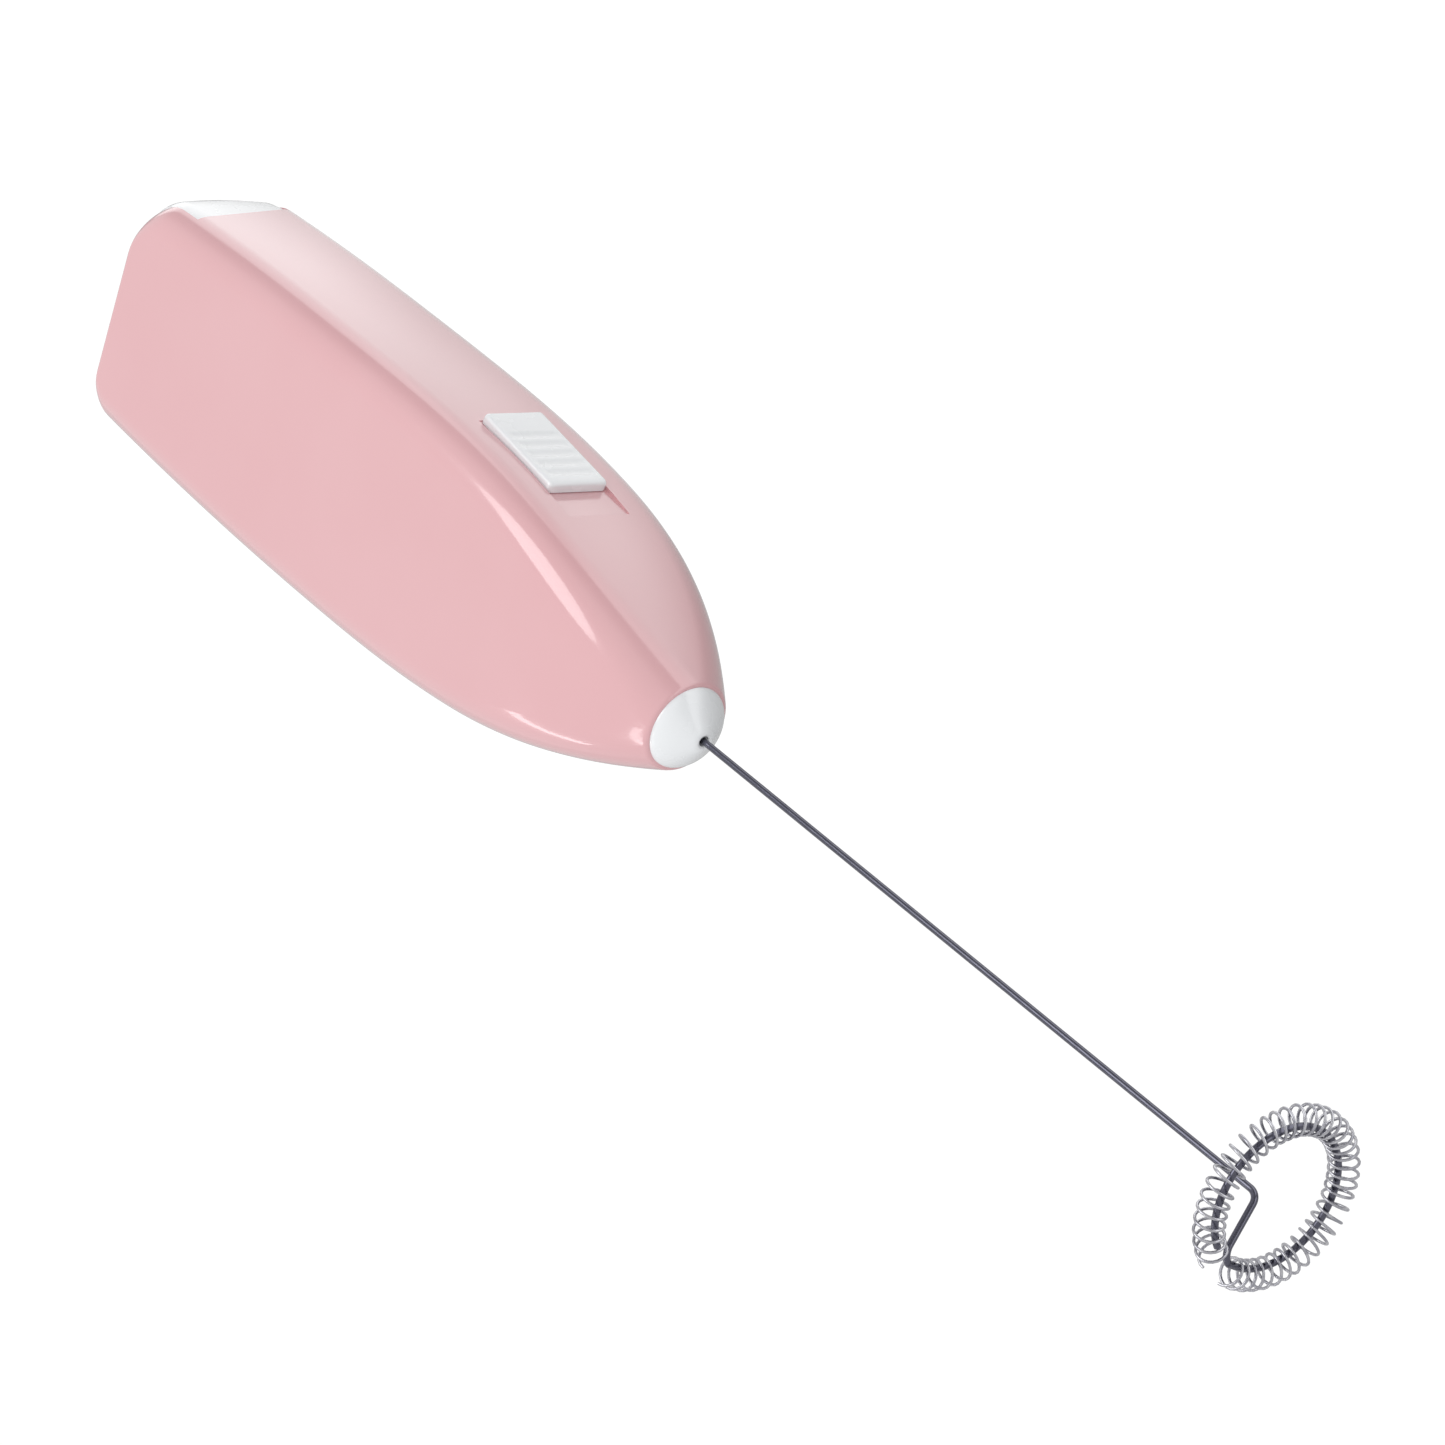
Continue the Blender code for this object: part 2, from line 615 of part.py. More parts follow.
def make_drawer(finish):
    """The drawer: an end with a tab in each notch, a wall and a tray with two troughs."""
    up, down, half = drawer_limits()
    inset, radius = 0.1 * MM, CORNER - WALL - 0.1 * MM
    body, tabs = [], []
    for u in (0.1 * MM, 0.3 * MM, 0.7 * MM, 1.3 * MM, 2.1 * MM, 3.2 * MM, DRAWER_LENGTH):
        reaches = min(up, reach_up(u) - inset), min(down, reach_down(u) - inset)
        body.append(rounded_box(u, *reaches, half, radius))
    drawer = lofted("battery_drawer", body, finish)
    for u in (0.1 * MM, 0.25 * MM, 0.6 * MM, 1.1 * MM, 1.8 * MM, 2.8 * MM, 5.0 * MM, 9.0 * MM):
        full = reach_up(u, rounded=False) - end_round(u, END_CORNER_UP) - inset
        tabs.append(rounded_box(u, full, reach_down(u) - inset, half_thickness(u) - inset, END_CORNER))
    tabs = combine(lofted("tabs", tabs, finish), notch_block("trim", DRAWER_CLEARANCE, finish), "INTERSECT")
    combine(drawer, tabs, "UNION")
    wide, spare = 2 * REACH_UP, 0.05 * MM
    above = block("above", (6.0 * MM, 2 * DRAWER_LENGTH), (-down - spare, up + spare), (TRAY_TOP, wide), finish)
    combine(drawer, above, "DIFFERENCE")
    pocket_y = (CELL_MIDDLE_Y - CELL_PITCH / 2 - 5.1 * MM, CELL_MIDDLE_Y + CELL_PITCH / 2 + 5.1 * MM)
    pocket = block("pocket", (6.0 * MM, 7.2 * MM), pocket_y, (-5.1 * MM, wide), finish)
    combine(drawer, pocket, "DIFFERENCE")
    for side_sign in (-1, 1):
        y = CELL_MIDDLE_Y + side_sign * CELL_PITCH / 2
        trough = [circle(u, CELL_RADIUS + 0.2 * MM, 28, y) for u in (6.0 * MM, 2 * DRAWER_LENGTH)]
        combine(drawer, lofted("trough", trough, finish), "DIFFERENCE")
    return drawer


def make_cell(name, y, base, direction, finish):
    """An AA cell whose flat end is at u = base, its positive nub towards direction."""
    crimp = 0.6 * MM
    profile = [
        (0.0, CELL_RADIUS - crimp),
        (crimp, CELL_RADIUS),
        (CELL_BODY - crimp, CELL_RADIUS),
        (CELL_BODY, CELL_RADIUS - crimp),
        (CELL_BODY, CELL_NUB_RADIUS),
        (CELL_BODY + CELL_NUB, CELL_NUB_RADIUS),
    ]
    return turned(name, [(base + direction * d, r) for d, r in profile], finish, y=y, ring=False)


def make_spring(name, y, start, end, finish):
    """A conical contact spring, wide at u = start and narrow at u = end."""
    turns, per_turn, wide, narrow = 2.5, 12, 4.4 * MM, 2.2 * MM
    count = int(turns * per_turn)
    points = []
    for i in range(count + 1):
        share = i / count
        angle = 2 * math.pi * i / per_turn
        radius = wide + (narrow - wide) * share
        points.append(at(start + (end - start) * share, y + radius * math.cos(angle), radius * math.sin(angle)))
    return wire(name, points, 0.25 * MM, finish, 1)


def make_power(steel, brass, label):
    upper = CELL_MIDDLE_Y + CELL_PITCH / 2
    lower = CELL_MIDDLE_Y - CELL_PITCH / 2
    make_cell("battery_up", upper, 9.2 * MM, 1, label)
    make_cell("battery_down", lower, 57.5 * MM, -1, label)
    bridge = [(lower - 4.8 * MM, -4.8 * MM), (upper + 4.8 * MM, -4.8 * MM)]
    bridge += [(upper + 4.8 * MM, 4.8 * MM), (lower - 4.8 * MM, 4.8 * MM)]
    extruded_x("rear_bridge_plate", bridge, 6.25 * MM, 6.6 * MM, steel)
    make_spring("rear_spring", upper, 6.95 * MM, 8.8 * MM, steel)
    make_spring("front_spring", lower, 59.75 * MM, 57.9 * MM, steel)
    blade = [(60.1, 5.0), (60.5, 5.0), (60.5, 12.4), (80.0, 12.4), (80.0, 12.7), (60.1, 12.7)]
    extruded_z("positive_blade", [(u * MM, y * MM) for u, y in blade], 2.5 * MM, brass)
    strip = [(63.0, 5.05), (63.4, 5.05), (63.4, 10.9), (82.0, 10.9), (82.0, 11.2), (63.0, 11.2)]
    extruded_z("switch_contact", [(u * MM, y * MM) for u, y in strip], 2.2 * MM, brass)
    tab = [(60.1, -9.35), (60.5, -9.35), (60.5, -5.3), (63.6, -5.3), (63.6, -5.0), (60.5, -5.0)]
    tab += [(60.5, -0.35), (60.1, -0.35)]
    extruded_z("negative_contact", [(u * MM, y * MM) for u, y in tab], 4.2 * MM, brass)


def main():
    clear_scene()
    pink = material("pink_shell", PINK, 0.25)
    white = material("white_plastic", WHITE, 0.35)
    nylon = material("nylon", WHITE, 0.5)
    steel = material("bright_steel", STEEL, 0.25, 1.0)
    can_steel = material("motor_steel", STEEL, 0.4, 1.0)
    dark = material("lamination_steel", DARK_STEEL, 0.5, 1.0)
    brass = material("contact_brass", BRASS, 0.35, 1.0)
    copper = material("copper", COPPER, 0.4, 1.0)
    black = material("ferrite", BLACK, 0.6)
    label = material("cell_jacket", CELL_GREEN, 0.35)

    make_shell(pink)
    make_knob(white)
    make_nose(white)
    make_motor_holder(white)
    make_motor(can_steel, nylon, brass, copper, black, dark)
    make_coupling(nylon)
    make_whisk(steel)
    make_drawer(white)
    make_power(steel, brass, label)


main()
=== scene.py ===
"""The milk frother's looks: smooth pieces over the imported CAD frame, materials, soft light and a camera.

Units are metres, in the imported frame: +X along the whisk, +Y towards the switch, +Z up, z = 0 the table.
"""

import json
import math

import bmesh
import bpy
from mathutils import Matrix, Vector


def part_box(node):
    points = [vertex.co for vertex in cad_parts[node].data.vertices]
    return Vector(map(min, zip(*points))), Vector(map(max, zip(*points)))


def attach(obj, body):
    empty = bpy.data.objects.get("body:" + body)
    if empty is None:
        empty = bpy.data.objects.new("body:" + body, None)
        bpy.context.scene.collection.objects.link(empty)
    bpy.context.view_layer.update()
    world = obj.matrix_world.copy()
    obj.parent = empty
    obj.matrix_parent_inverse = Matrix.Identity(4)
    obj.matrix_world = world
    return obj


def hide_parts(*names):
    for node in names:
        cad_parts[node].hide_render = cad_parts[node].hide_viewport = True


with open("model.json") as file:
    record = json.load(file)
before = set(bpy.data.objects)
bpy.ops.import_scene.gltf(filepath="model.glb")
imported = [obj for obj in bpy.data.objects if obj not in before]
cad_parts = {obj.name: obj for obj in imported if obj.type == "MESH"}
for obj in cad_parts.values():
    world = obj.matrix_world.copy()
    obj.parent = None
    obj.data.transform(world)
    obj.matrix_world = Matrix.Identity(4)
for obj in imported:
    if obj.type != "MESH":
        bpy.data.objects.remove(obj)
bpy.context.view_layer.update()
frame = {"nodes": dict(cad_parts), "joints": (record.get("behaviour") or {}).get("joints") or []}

MM = 0.001

# Sizes that are the same in the CAD model. UP is the switch's side, DOWN the other, both from the axis.
SHELL_LENGTH = 113.0 * MM
REACH_UP = 18.97 * MM
REACH_DOWN = 15.99 * MM
HALF_THICKNESS = 11.7 * MM
FRONT_RADIUS = 5.95 * MM
WALL = 1.4 * MM
CORNER = 4.7 * MM
REAR_NARROWING_UP = 1.1 * MM
REAR_NARROWING_DOWN = 1.85 * MM
REAR_CORNER_UP = 5.5 * MM
REAR_CORNER_DOWN = 2.8 * MM
REAR_EDGE = 0.6 * MM
BULGE_UP = 0.295 * SHELL_LENGTH
BULGE_DOWN = 0.427 * SHELL_LENGTH
BULGE_THICKNESS = 0.72 * SHELL_LENGTH
CORNER_BLEND = 0.72 * SHELL_LENGTH
TAPER_UP = (3.66, 1.048)
TAPER_DOWN = (2.736, 0.976)
TAPER_THICKNESS = (2.6, 1.0)
NOTCH_LOW = 5.5 * MM
NOTCH_HIGH = 8.7 * MM
NOTCH_HALF = 8.6 * MM
END_CORNER = 5.5 * MM
NOSE_PROUD = 3.7 * MM
NOSE_HOLE = 5.35 * MM
STICK_RADIUS = 0.5 * MM
RING_RADIUS = 9.5 * MM
CARRIER_RADIUS = 8.7 * MM
RING_U = SHELL_LENGTH + 106.0 * MM
RING_OFFSET_Y = 1.1 * MM
RING_OFFSET_Z = -0.1 * MM
RING_YAW = math.radians(4.5)
RING_PITCH = math.radians(-2.8)
COIL_RADIUS = 1.7 * MM
COIL_WIRE_RADIUS = 0.2 * MM
COIL_TURNS = 42
ARM_ANGLE = math.radians(140.0)
KNEE_BACK = 2.4 * MM
KNOB_START = 67.7 * MM
KNOB_TOP = 19.7 * MM
KNOB_SLOPE = -0.135
KNOB_LENGTH = 15.5 * MM
KNOB_HALF_WIDTH = 4.6 * MM
KNOB_TRAVEL = 3.0 * MM
KNOB_GAP = 0.25 * MM
RECESS_FLOOR = -1.5 * MM
SLOT_START = 3.6 * MM
SLOT_END = 14.9 * MM
SLOT_HALF = 2.4 * MM
RIDGES = 5
CELL_PITCH = 14.4 * MM
CELL_MIDDLE_Y = 1.87 * MM
CELL_RADIUS = 7.1 * MM
DRAWER_CLEARANCE = 0.25 * MM
DRAWER_LENGTH = 59.5 * MM
TRAY_TOP = -3.5 * MM

# Sizes of the visual pieces alone. They stay inside the CAD model's box.
FRONT_EDGE = 0.3 * MM
END_CORNER_UP = 4.2 * MM
END_CROWN = 0.6
END_GAP = 0.04 * MM
NOSE_BACK = 104.5 * MM
NOSE_SHOULDER = 106.0 * MM
NOSE_FLANGE = 6.2 * MM
NOSE_RADIUS = 5.3 * MM
NOSE_STEP = 0.02 * MM
NOSE_BORE = 0.66 * MM
DOME_RADIUS = 5.5 * MM
KNOB_EDGE = 0.6 * MM
KNOB_GROOVE = 0.2 * MM
RECESS_LENGTH = 20.5 * MM
RECESS_REAR = -KNOB_GAP / 3
PRINT_MIDDLE_U = 34.5 * MM
PRINT_HALF = 25.5 * MM

# Mesh edges with a smaller angle than this, in degrees, are shaded smooth.
SMOOTH_ANGLE = 32.0
SMOOTH_ANGLE_CAP = 40.0
SMOOTH_ANGLE_WIRE = 50.0

# Camera: the picture's right, down and inward directions, and how far along them the handle's front rim is.
VIEW_RIGHT = Vector((0.59935, 0.28223, -0.74908))
VIEW_DOWN = Vector((0.48564, -0.87210, 0.06000))
VIEW_INTO = Vector((-0.63634, -0.39975, -0.65975))
RIM_IN_VIEW = Vector((-4.31985, 0.58038, 650.0)) * MM
SENSOR_WIDTH = 36.0
FOCAL_LENGTH = 134.93

# Light: how bright the sky, the floor and the soft boxes are. GLOSS means as seen in a glossy surface.
CAMERA_WHITE = 1.05
SKY = 1.03
SKY_GLOSS = 0.80
SKY_DARK = 0.45
FLOOR_BOUNCE = 0.32
FLOOR_BOUNCE_BACK = 0.75
GLOSS_SIDE = 1.7
GLOSS_FAR = 0.46
GLOSS_BACK = 0.62
GLOSS_AHEAD = 0.75
OVAL_LIGHT = 2.2
STRIP_LIGHT = 4.0

# Where the sky darkens: the height and the sideways share of a direction, from no change to full change.
SKY_LOW = (0.55, 0.2)
SKY_SIDEWAYS = (0.2, 0.6)

# Where the floor's glow changes, as x, y or distance from the object's middle, from no change to full change.
FLOOR_SIDE_Y = (0.010, 0.026)
FLOOR_BACK_Y = (-0.012, -0.04)
FLOOR_AHEAD_X = (0.0, 0.02)
FLOOR_FADE = (0.12, 0.6)
FLOOR_DIM_X = (-0.105, -0.07)
FLOOR_LIFT_X = (-0.055, -0.02)
FLOOR_FADE_TO = 0.3
FLOOR_DIM_TO = 0.83
FLOOR_LIFT_BY = 0.30
FLOOR_BELOW = 0.00005

SPIN = next(joint for joint in frame["joints"] if joint["name"] == "whisk_spin")
REAR_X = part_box("outer_shell")[0].x
AXIS_Y, AXIS_Z = SPIN["pos_m"][1], SPIN["pos_m"][2]


def at(u, y=0.0, z=0.0):
    """A point u from the handle's rear end, and y and z from the whisk's axis."""
    return Vector((REAR_X + u, AXIS_Y + y, AXIS_Z + z))


# Camera.


def make_camera():
    """The view of the photo, worked out from the object's outline in it."""
    offset = RIM_IN_VIEW.x * VIEW_RIGHT + RIM_IN_VIEW.y * VIEW_DOWN + RIM_IN_VIEW.z * VIEW_INTO
    place = at(SHELL_LENGTH) - offset
    camera = bpy.data.objects.new("camera", bpy.data.cameras.new("camera"))
    bpy.context.scene.collection.objects.link(camera)
    turn = Matrix((VIEW_RIGHT, -VIEW_DOWN, -VIEW_INTO)).transposed().to_4x4()
    camera.matrix_world = Matrix.Translation(place) @ turn
    camera.data.sensor_width = SENSOR_WIDTH
    camera.data.lens = FOCAL_LENGTH
    camera.data.clip_start = 0.01
    camera.data.clip_end = 20.0
    bpy.context.scene.camera = camera


# Materials.


class Nodes:
    """A short way to write a node tree: add a node by type, with its settings and inputs."""

    def __init__(self, owner, shader="Principled BSDF"):
        self.tree = owner.node_tree
        self.shader = self.tree.nodes[shader]

    def add(self, kind, inputs=None, **settings):
        node = self.tree.nodes.new(kind)
        for name, value in settings.items():
            setattr(node, name, value)
        for name, value in (inputs or {}).items():
            self.put(node.inputs[name], value)
        return node

    def put(self, socket, value):
        if isinstance(value, bpy.types.NodeSocket):
            self.tree.links.new(value, socket)
        else:
            socket.default_value = value


def maths(nodes, operation, first, second):
    return nodes.add("ShaderNodeMath", {0: first, 1: second}, operation=operation).outputs["Value"]


def mixed(nodes, share, first, second):
    return nodes.add("ShaderNodeMix", {"Factor": share, "A": first, "B": second}).outputs["Result"]


def even_span(nodes, value, low, high):
    """From low where the value is 0 to high where it is 1."""
    limits = {"Value": value, "To Min": low, "To Max": high}
    return nodes.add("ShaderNodeMapRange", limits).outputs["Result"]


def soft_span(nodes, value, start, end, low=0.0, high=1.0):
    """From low where the value is at start to high where it is at end, with soft ends."""
    limits = {"Value": value, "From Min": start, "From Max": end, "To Min": low, "To Max": high}
    return nodes.add("ShaderNodeMapRange", limits, interpolation_type="SMOOTHSTEP").outputs["Result"]


def new_material(name, colour, roughness, metallic=0.0, **settings):
    """A material and its nodes. Further settings are the shader's inputs, with _ for each space."""
    made = bpy.data.materials.new(name)
    made.use_nodes = True
    nodes = Nodes(made)
    shader = nodes.shader
    shader.inputs["Base Color"].default_value = (*colour, 1.0)
    shader.inputs["Roughness"].default_value = roughness
    shader.inputs["Metallic"].default_value = metallic
    for key, value in settings.items():
        shader.inputs[key.replace("_", " ")].default_value = value
    return made, nodes


def vary_colour(nodes, position, light, dark, scale):
    """Soft patches between two colours. The scale of a pattern is how many of its cells make a metre."""
    noise = nodes.add("ShaderNodeTexNoise", {"Vector": position, "Scale": scale, "Detail": 3.0})
    ramp = nodes.add("ShaderNodeValToRGB", {"Fac": noise.outputs["Fac"]})
    for stop, place, colour in zip(ramp.color_ramp.elements, (0.35, 0.65), (dark, light)):
        stop.position = place
        stop.color = (*colour, 1.0)
    nodes.put(nodes.shader.inputs["Base Color"], ramp.outputs["Color"])


def vary_roughness(nodes, position, low, high, scale):
    """Uneven gloss, between two roughnesses."""
    noise = nodes.add("ShaderNodeTexNoise", {"Vector": position, "Scale": scale, "Detail": 4.0})
    nodes.put(nodes.shader.inputs["Roughness"], even_span(nodes, noise.outputs["Fac"], low, high))


def add_bump(nodes, height, strength, distance, after=None):
    """A bump in the surface, distance metres deep, on top of an earlier one if there is one."""
    inputs = {"Height": height, "Strength": strength, "Distance": distance}
    if after is not None:
        inputs["Normal"] = after.outputs["Normal"]
    bump = nodes.add("ShaderNodeBump", inputs)
    nodes.put(nodes.shader.inputs["Normal"], bump.outputs["Normal"])
    return bump


def position_of(nodes):
    """The place on the object, in metres."""
    return nodes.add("ShaderNodeTexCoord").outputs["Object"]


def moulded(name, light, dark, rough, peel=0.06, grain=0.0, **settings):
    """Moulded plastic: faint flow marks in the colour, an uneven gloss and a slight orange peel."""
    made, nodes = new_material(name, light, rough[0], **settings)
    position = position_of(nodes)
    vary_colour(nodes, position, light, dark, scale=45.0)
    vary_roughness(nodes, position, *rough, scale=260.0)
    peel_noise = nodes.add("ShaderNodeTexNoise", {"Vector": position, "Scale": 420.0, "Detail": 1.5})
    bump = add_bump(nodes, peel_noise.outputs["Fac"], peel, distance=0.0002)
    if grain:
        fine = nodes.add("ShaderNodeTexNoise", {"Vector": position, "Scale": 5200.0, "Detail": 2.0})
        add_bump(nodes, fine.outputs["Fac"], grain, distance=0.00005, after=bump)
    return made


def metal(name, light, dark, rough, stretch=(1.0, 1.0, 1.0), bump=0.12, coat=0.0):
    """Worked metal: fine marks that run along the least stretched direction."""
    scale = 900.0
    made, nodes = new_material(name, light, rough[0], metallic=1.0, Coat_Weight=coat)
    position = position_of(nodes)
    marks = nodes.add("ShaderNodeMapping", {"Vector": position, "Scale": stretch}).outputs["Vector"]
    vary_colour(nodes, marks, light, dark, scale)
    vary_roughness(nodes, marks, *rough, scale=1.7 * scale)
    noise = nodes.add("ShaderNodeTexNoise", {"Vector": marks, "Scale": 2.5 * scale, "Detail": 3.0})
    add_bump(nodes, noise.outputs["Fac"], bump, distance=0.00003)
    return made


def make_materials():
    """Every finish by name. light and dark are the colours that it varies between, rough its roughness."""
    pink = moulded(
        "pink_gloss",
        light=(0.80, 0.455, 0.48),
        dark=(0.79, 0.44, 0.465),
        rough=(0.15, 0.20),
        peel=0.04,
        Coat_Weight=1.0,
        Coat_Roughness=0.06,
    )
    white = moulded(
        "white_gloss",
        light=(0.91, 0.93, 0.95),
        dark=(0.903, 0.923, 0.943),
        rough=(0.24, 0.30),
        peel=0.04,
        Coat_Weight=1.0,
        Coat_Roughness=0.1,
    )
    inner = moulded("white_inner", (0.78, 0.79, 0.77), (0.74, 0.75, 0.73), (0.45, 0.55), grain=0.15)
    nylon = moulded("nylon_natural", (0.74, 0.72, 0.64), (0.70, 0.68, 0.60), (0.40, 0.50), grain=0.2)
    ferrite = moulded("ferrite_dark", (0.045, 0.045, 0.05), (0.03, 0.03, 0.033), (0.55, 0.70), grain=0.5)
    drawn, stacked = (1.0, 14.0, 14.0), (40.0, 1.0, 1.0)
    # The stick's near-black, bluish base colour is a painted reflection. It stands in for dark surroundings
    # mirrored in bright steel, not for the steel's own colour.
    stick = metal(
        "stick_steel_painted_dark",
        light=(0.11, 0.11, 0.145),
        dark=(0.07, 0.07, 0.10),
        rough=(0.16, 0.26),
        stretch=drawn,
        bump=0.03,
        coat=0.6,
    )
    coil = metal("coil_steel", (0.56, 0.56, 0.59), (0.36, 0.36, 0.40), (0.22, 0.34), bump=0.05)
    return {
        "pink": pink,
        "white": white,
        "inner": inner,
        "nylon": nylon,
        "ferrite": ferrite,
        "stick": stick,
        "coil": coil,
        "steel": metal("plated_steel", (0.62, 0.62, 0.63), (0.50, 0.50, 0.52), (0.28, 0.42), drawn),
        "core": metal("core_steel", (0.26, 0.26, 0.28), (0.16, 0.16, 0.18), (0.40, 0.60), stacked),
        "brass": metal("contact_brass", (0.78, 0.58, 0.28), (0.66, 0.46, 0.20), (0.25, 0.38)),
        "copper": metal("copper_red", (0.80, 0.38, 0.22), (0.62, 0.26, 0.13), (0.28, 0.40)),
        "winding": make_winding_material(),
        "cell": make_cell_material(),
    }


def make_winding_material():
    """Enamelled wire laid side by side round the armature's legs."""
    made, nodes = new_material("enamelled_wire", (0.66, 0.26, 0.12), roughness=0.3, metallic=1.0)
    position = position_of(nodes)
    vary_colour(nodes, position, (0.70, 0.28, 0.12), (0.50, 0.17, 0.08), scale=1200.0)
    pattern = {"Vector": position, "Scale": 900.0, "Distortion": 0.4}
    wave = nodes.add("ShaderNodeTexWave", pattern, bands_direction="DIAGONAL")
    add_bump(nodes, wave.outputs["Fac"], strength=0.7, distance=0.0001)
    return made


def make_cell_material():
    """A cell's printed film: a green jacket with a bright band at its positive end, and no lettering."""
    jacket, band, foil, rim = (0.10, 0.33, 0.24), (0.72, 0.55, 0.20), (0.55, 0.55, 0.57), (0.6, 0.6, 0.62)
    made, nodes = new_material("cell_film", (0.03, 0.03, 0.035), roughness=0.25)
    position = position_of(nodes)
    split = nodes.add("ShaderNodeSeparateXYZ", {"Vector": position})
    middle = at(PRINT_MIDDLE_U, CELL_MIDDLE_Y)
    side = maths(nodes, "GREATER_THAN", split.outputs["Y"], middle.y)
    sign = nodes.add("ShaderNodeMath", {0: side, 1: 2.0, 2: -1.0}, operation="MULTIPLY_ADD").outputs["Value"]
    along = maths(nodes, "MULTIPLY", maths(nodes, "SUBTRACT", split.outputs["X"], middle.x), sign)
    limits = {"Value": along, "From Min": -PRINT_HALF, "From Max": PRINT_HALF}
    ramp = nodes.add("ShaderNodeValToRGB", {"Fac": nodes.add("ShaderNodeMapRange", limits).outputs["Result"]})
    stops = ramp.color_ramp
    stops.interpolation = "CONSTANT"
    stops.elements[0].color = (*jacket, 1.0)
    stops.elements[1].position = 0.70
    stops.elements[1].color = (*band, 1.0)
    for place, colour in ((0.012, foil), (0.03, jacket), (0.955, rim)):
        stops.elements.new(place).color = (*colour, 1.0)
    nodes.put(nodes.shader.inputs["Base Color"], ramp.outputs["Color"])
    vary_roughness(nodes, position, low=0.18, high=0.30, scale=500.0)
    return made


# Mesh helpers.


def link(name, data, finish):
    piece = bpy.data.objects.new(name, data)
    bpy.context.scene.collection.objects.link(piece)
    data.materials.clear()
    data.materials.append(finish)
    return piece


def mesh_piece(name, bm, finish, smooth_angle=SMOOTH_ANGLE):
    bmesh.ops.remove_doubles(bm, verts=bm.verts, dist=1e-7)
    bmesh.ops.recalc_face_normals(bm, faces=bm.faces)
    mesh = bpy.data.meshes.new(name)
    bm.to_mesh(mesh)
    bm.free()
    mesh.shade_smooth()
    mesh.set_sharp_from_angle(angle=math.radians(smooth_angle))
    return link(name, mesh, finish)


def lofted(name, loops, finish, ring=False, smooth_angle=SMOOTH_ANGLE):
    """A skin over loops of points, closed at both ends, or from the last loop back to the first."""
    bm = bmesh.new()
    rows = [[bm.verts.new(point) for point in loop] for loop in loops]
    pairs = list(zip(rows, rows[1:]))
    if ring:
        pairs.append((rows[-1], rows[0]))
    count = len(rows[0])
    for first, second in pairs:
        for i in range(count):
            j = (i + 1) % count
            bm.faces.new((first[i], first[j], second[j], second[i]))
    if not ring:
        bm.faces.new(rows[0])
        bm.faces.new(rows[-1])
    return mesh_piece(name, bm, finish, smooth_angle)


def combine(target, other, operation, smooth_angle=SMOOTH_ANGLE):
    """Adds the other piece to the target, cuts it out or keeps what they share, and removes it."""
    modifier = target.modifiers.new("combine", "BOOLEAN")
    modifier.operation = operation
    modifier.solver = "EXACT"
    modifier.object = other
    bpy.context.view_layer.update()
    graph = bpy.context.evaluated_depsgraph_get()
    result = bpy.data.meshes.new_from_object(target.evaluated_get(graph))
    target.modifiers.clear()
    target.data = result
    bpy.data.objects.remove(other, do_unlink=True)
    result.shade_smooth()
    result.set_sharp_from_angle(angle=math.radians(smooth_angle))
    return target


def block(name, u_range, y_range, z_range, finish):
    loops = []
    for u in u_range:
        corners = ((0, 0), (1, 0), (1, 1), (0, 1))
        loops.append([at(u, y_range[i], z_range[j]) for i, j in corners])
    return lofted(name, loops, finish)


def circle(u, radius, sides, y=0.0):
    """A loop of points round a centre that is y from the whisk's axis."""
    turns = [2 * math.pi * i / sides for i in range(sides)]
    return [at(u, y + radius * math.cos(a), radius * math.sin(a)) for a in turns]


# The handle's outline.


def bullet(u, start, full, power, softness):
    """How far a side reaches: full up to the start, then falling to the front end's radius."""
    if u <= start:
        return full
    share = min(1.0, (u - start) / (SHELL_LENGTH - start))
    return FRONT_RADIUS + (full - FRONT_RADIUS) * max(0.0, 1 - share**power) ** softness


def narrowed(u, start, amount):
    """How much a side is drawn in towards the rear."""
    return amount * max(0.0, 1 - u / start) ** 2


def end_round(u, radius):
    """How much a rounded rear corner of this radius takes off."""
    short = max(0.0, radius - u)
    return radius - math.sqrt(radius**2 - short**2)


def reach_up(u, rounded=True):
    reach = bullet(u, BULGE_UP, REACH_UP, *TAPER_UP) - narrowed(u, BULGE_UP, REAR_NARROWING_UP)
    return reach - (end_round(u, REAR_CORNER_UP) if rounded else 0.0)


def reach_down(u, rounded=True):
    reach = bullet(u, BULGE_DOWN, REACH_DOWN, *TAPER_DOWN) - narrowed(u, BULGE_DOWN, REAR_NARROWING_DOWN)
    return reach - (end_round(u, REAR_CORNER_DOWN) if rounded else 0.0)


def half_thickness(u, rounded=True):
    reach = bullet(u, BULGE_THICKNESS, HALF_THICKNESS, *TAPER_THICKNESS)
    return reach - (end_round(u, REAR_EDGE) if rounded else 0.0)


def corner_radius(u):
    """The radius of the corners between the broad and the narrow sides."""
    share = max(0.0, (u - CORNER_BLEND) / (SHELL_LENGTH - CORNER_BLEND))
    return CORNER + (FRONT_RADIUS - CORNER) * share**2


def rounded_box(u, up, down, half, radius, steps=14, flats=4):
    """A loop at u: a rounded rectangle, its corners and its straight sides evenly divided."""
    corners = ((up, half, 0), (-down, half, 90), (-down, -half, 180), (up, -half, 270))
    points = []
    for y, z, start in corners:
        centre_y = y - math.copysign(radius, y)
        centre_z = z - math.copysign(radius, z)
        for i in range(steps + 1):
            angle = math.radians(start + 90 * i / steps)
            points.append((centre_y + radius * math.cos(angle), centre_z + radius * math.sin(angle)))
    full = []
    for k in range(4):
        side = points[k * (steps + 1) : (k + 1) * (steps + 1)]
        full += side
        (y0, z0), (y1, z1) = side[-1], points[((k + 1) * (steps + 1)) % len(points)]
        full += [(y0 + (y1 - y0) * i / flats, z0 + (z1 - z0) * i / flats) for i in range(1, flats)]
    return [at(u, y, z) for y, z in full]


